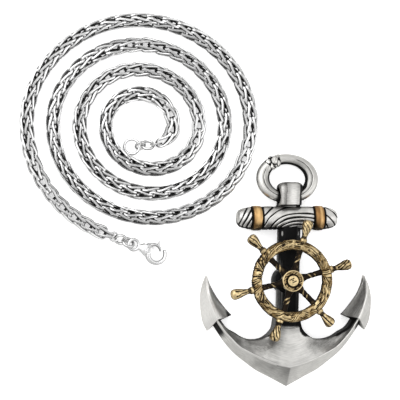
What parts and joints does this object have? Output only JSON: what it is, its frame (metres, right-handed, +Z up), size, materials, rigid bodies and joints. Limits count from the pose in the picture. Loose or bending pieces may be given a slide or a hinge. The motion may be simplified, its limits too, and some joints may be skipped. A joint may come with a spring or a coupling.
{
  "type": "anchor pendant necklace",
  "caption": "Anchor pendant with a turning ship's wheel and a swinging ring, its wheat chain with a lobster clasp lying beside it in an open spiral.",
  "frame": {"origin": "on the pendant's back, under the ship's wheel's axis", "axes": "+Z up from the surface that it rests on, out of the pendant's face; +Y along the shank towards the ring; +X to the right seen from the face"},
  "size_m": [0.0947, 0.0986, 0.0109],
  "materials": {
    "antiqued_steel": "brushed, blackened in the recesses",
    "grained_steel": "satin with blackened wood-grain grooves",
    "band_gold": "satin warm gold plating",
    "antiqued_gold": "antiqued gold, near black in the carving",
    "bright_steel": "polished"
  },
  "bodies": {
    "root": {"anchor": "antiqued_steel", "stock": "grained_steel", "stock_band_left": "band_gold", "stock_band_right": "band_gold", "wheel_rivet": "antiqued_gold", "chain": "bright_steel", "clasp_link_1": "bright_steel", "clasp_link_2": "bright_steel", "clasp_body": "bright_steel", "end_link_1": "bright_steel", "end_link_2": "bright_steel", "end_ring": "bright_steel"},
    "wheel": {"wheel": "antiqued_gold"},
    "ring": {"pendant_ring": "antiqued_steel"},
    "lever": {"clasp_lever": "bright_steel"}
  },
  "joints": [
    {"name": "wheel_spin", "type": "hinge", "parent": "root", "child": "wheel", "pos_m": [0, 0, 0.0092], "axis": [0, 0, 1], "continuous": true},
    {"name": "ring_swing", "type": "hinge", "parent": "root", "child": "ring", "pos_m": [0, 0.02235, 0.0033], "axis": [1, 0, 0], "range_deg": [-100, 115]},
    {"name": "clasp_lever_turn", "type": "hinge", "parent": "root", "child": "lever", "pos_m": [-0.03692, 0.00917, 0], "axis": [0, 0, 1], "range_deg": [-20, 0], "stiffness_Nm_per_rad": 0.0005, "springref_deg": 11.46}
  ]
}
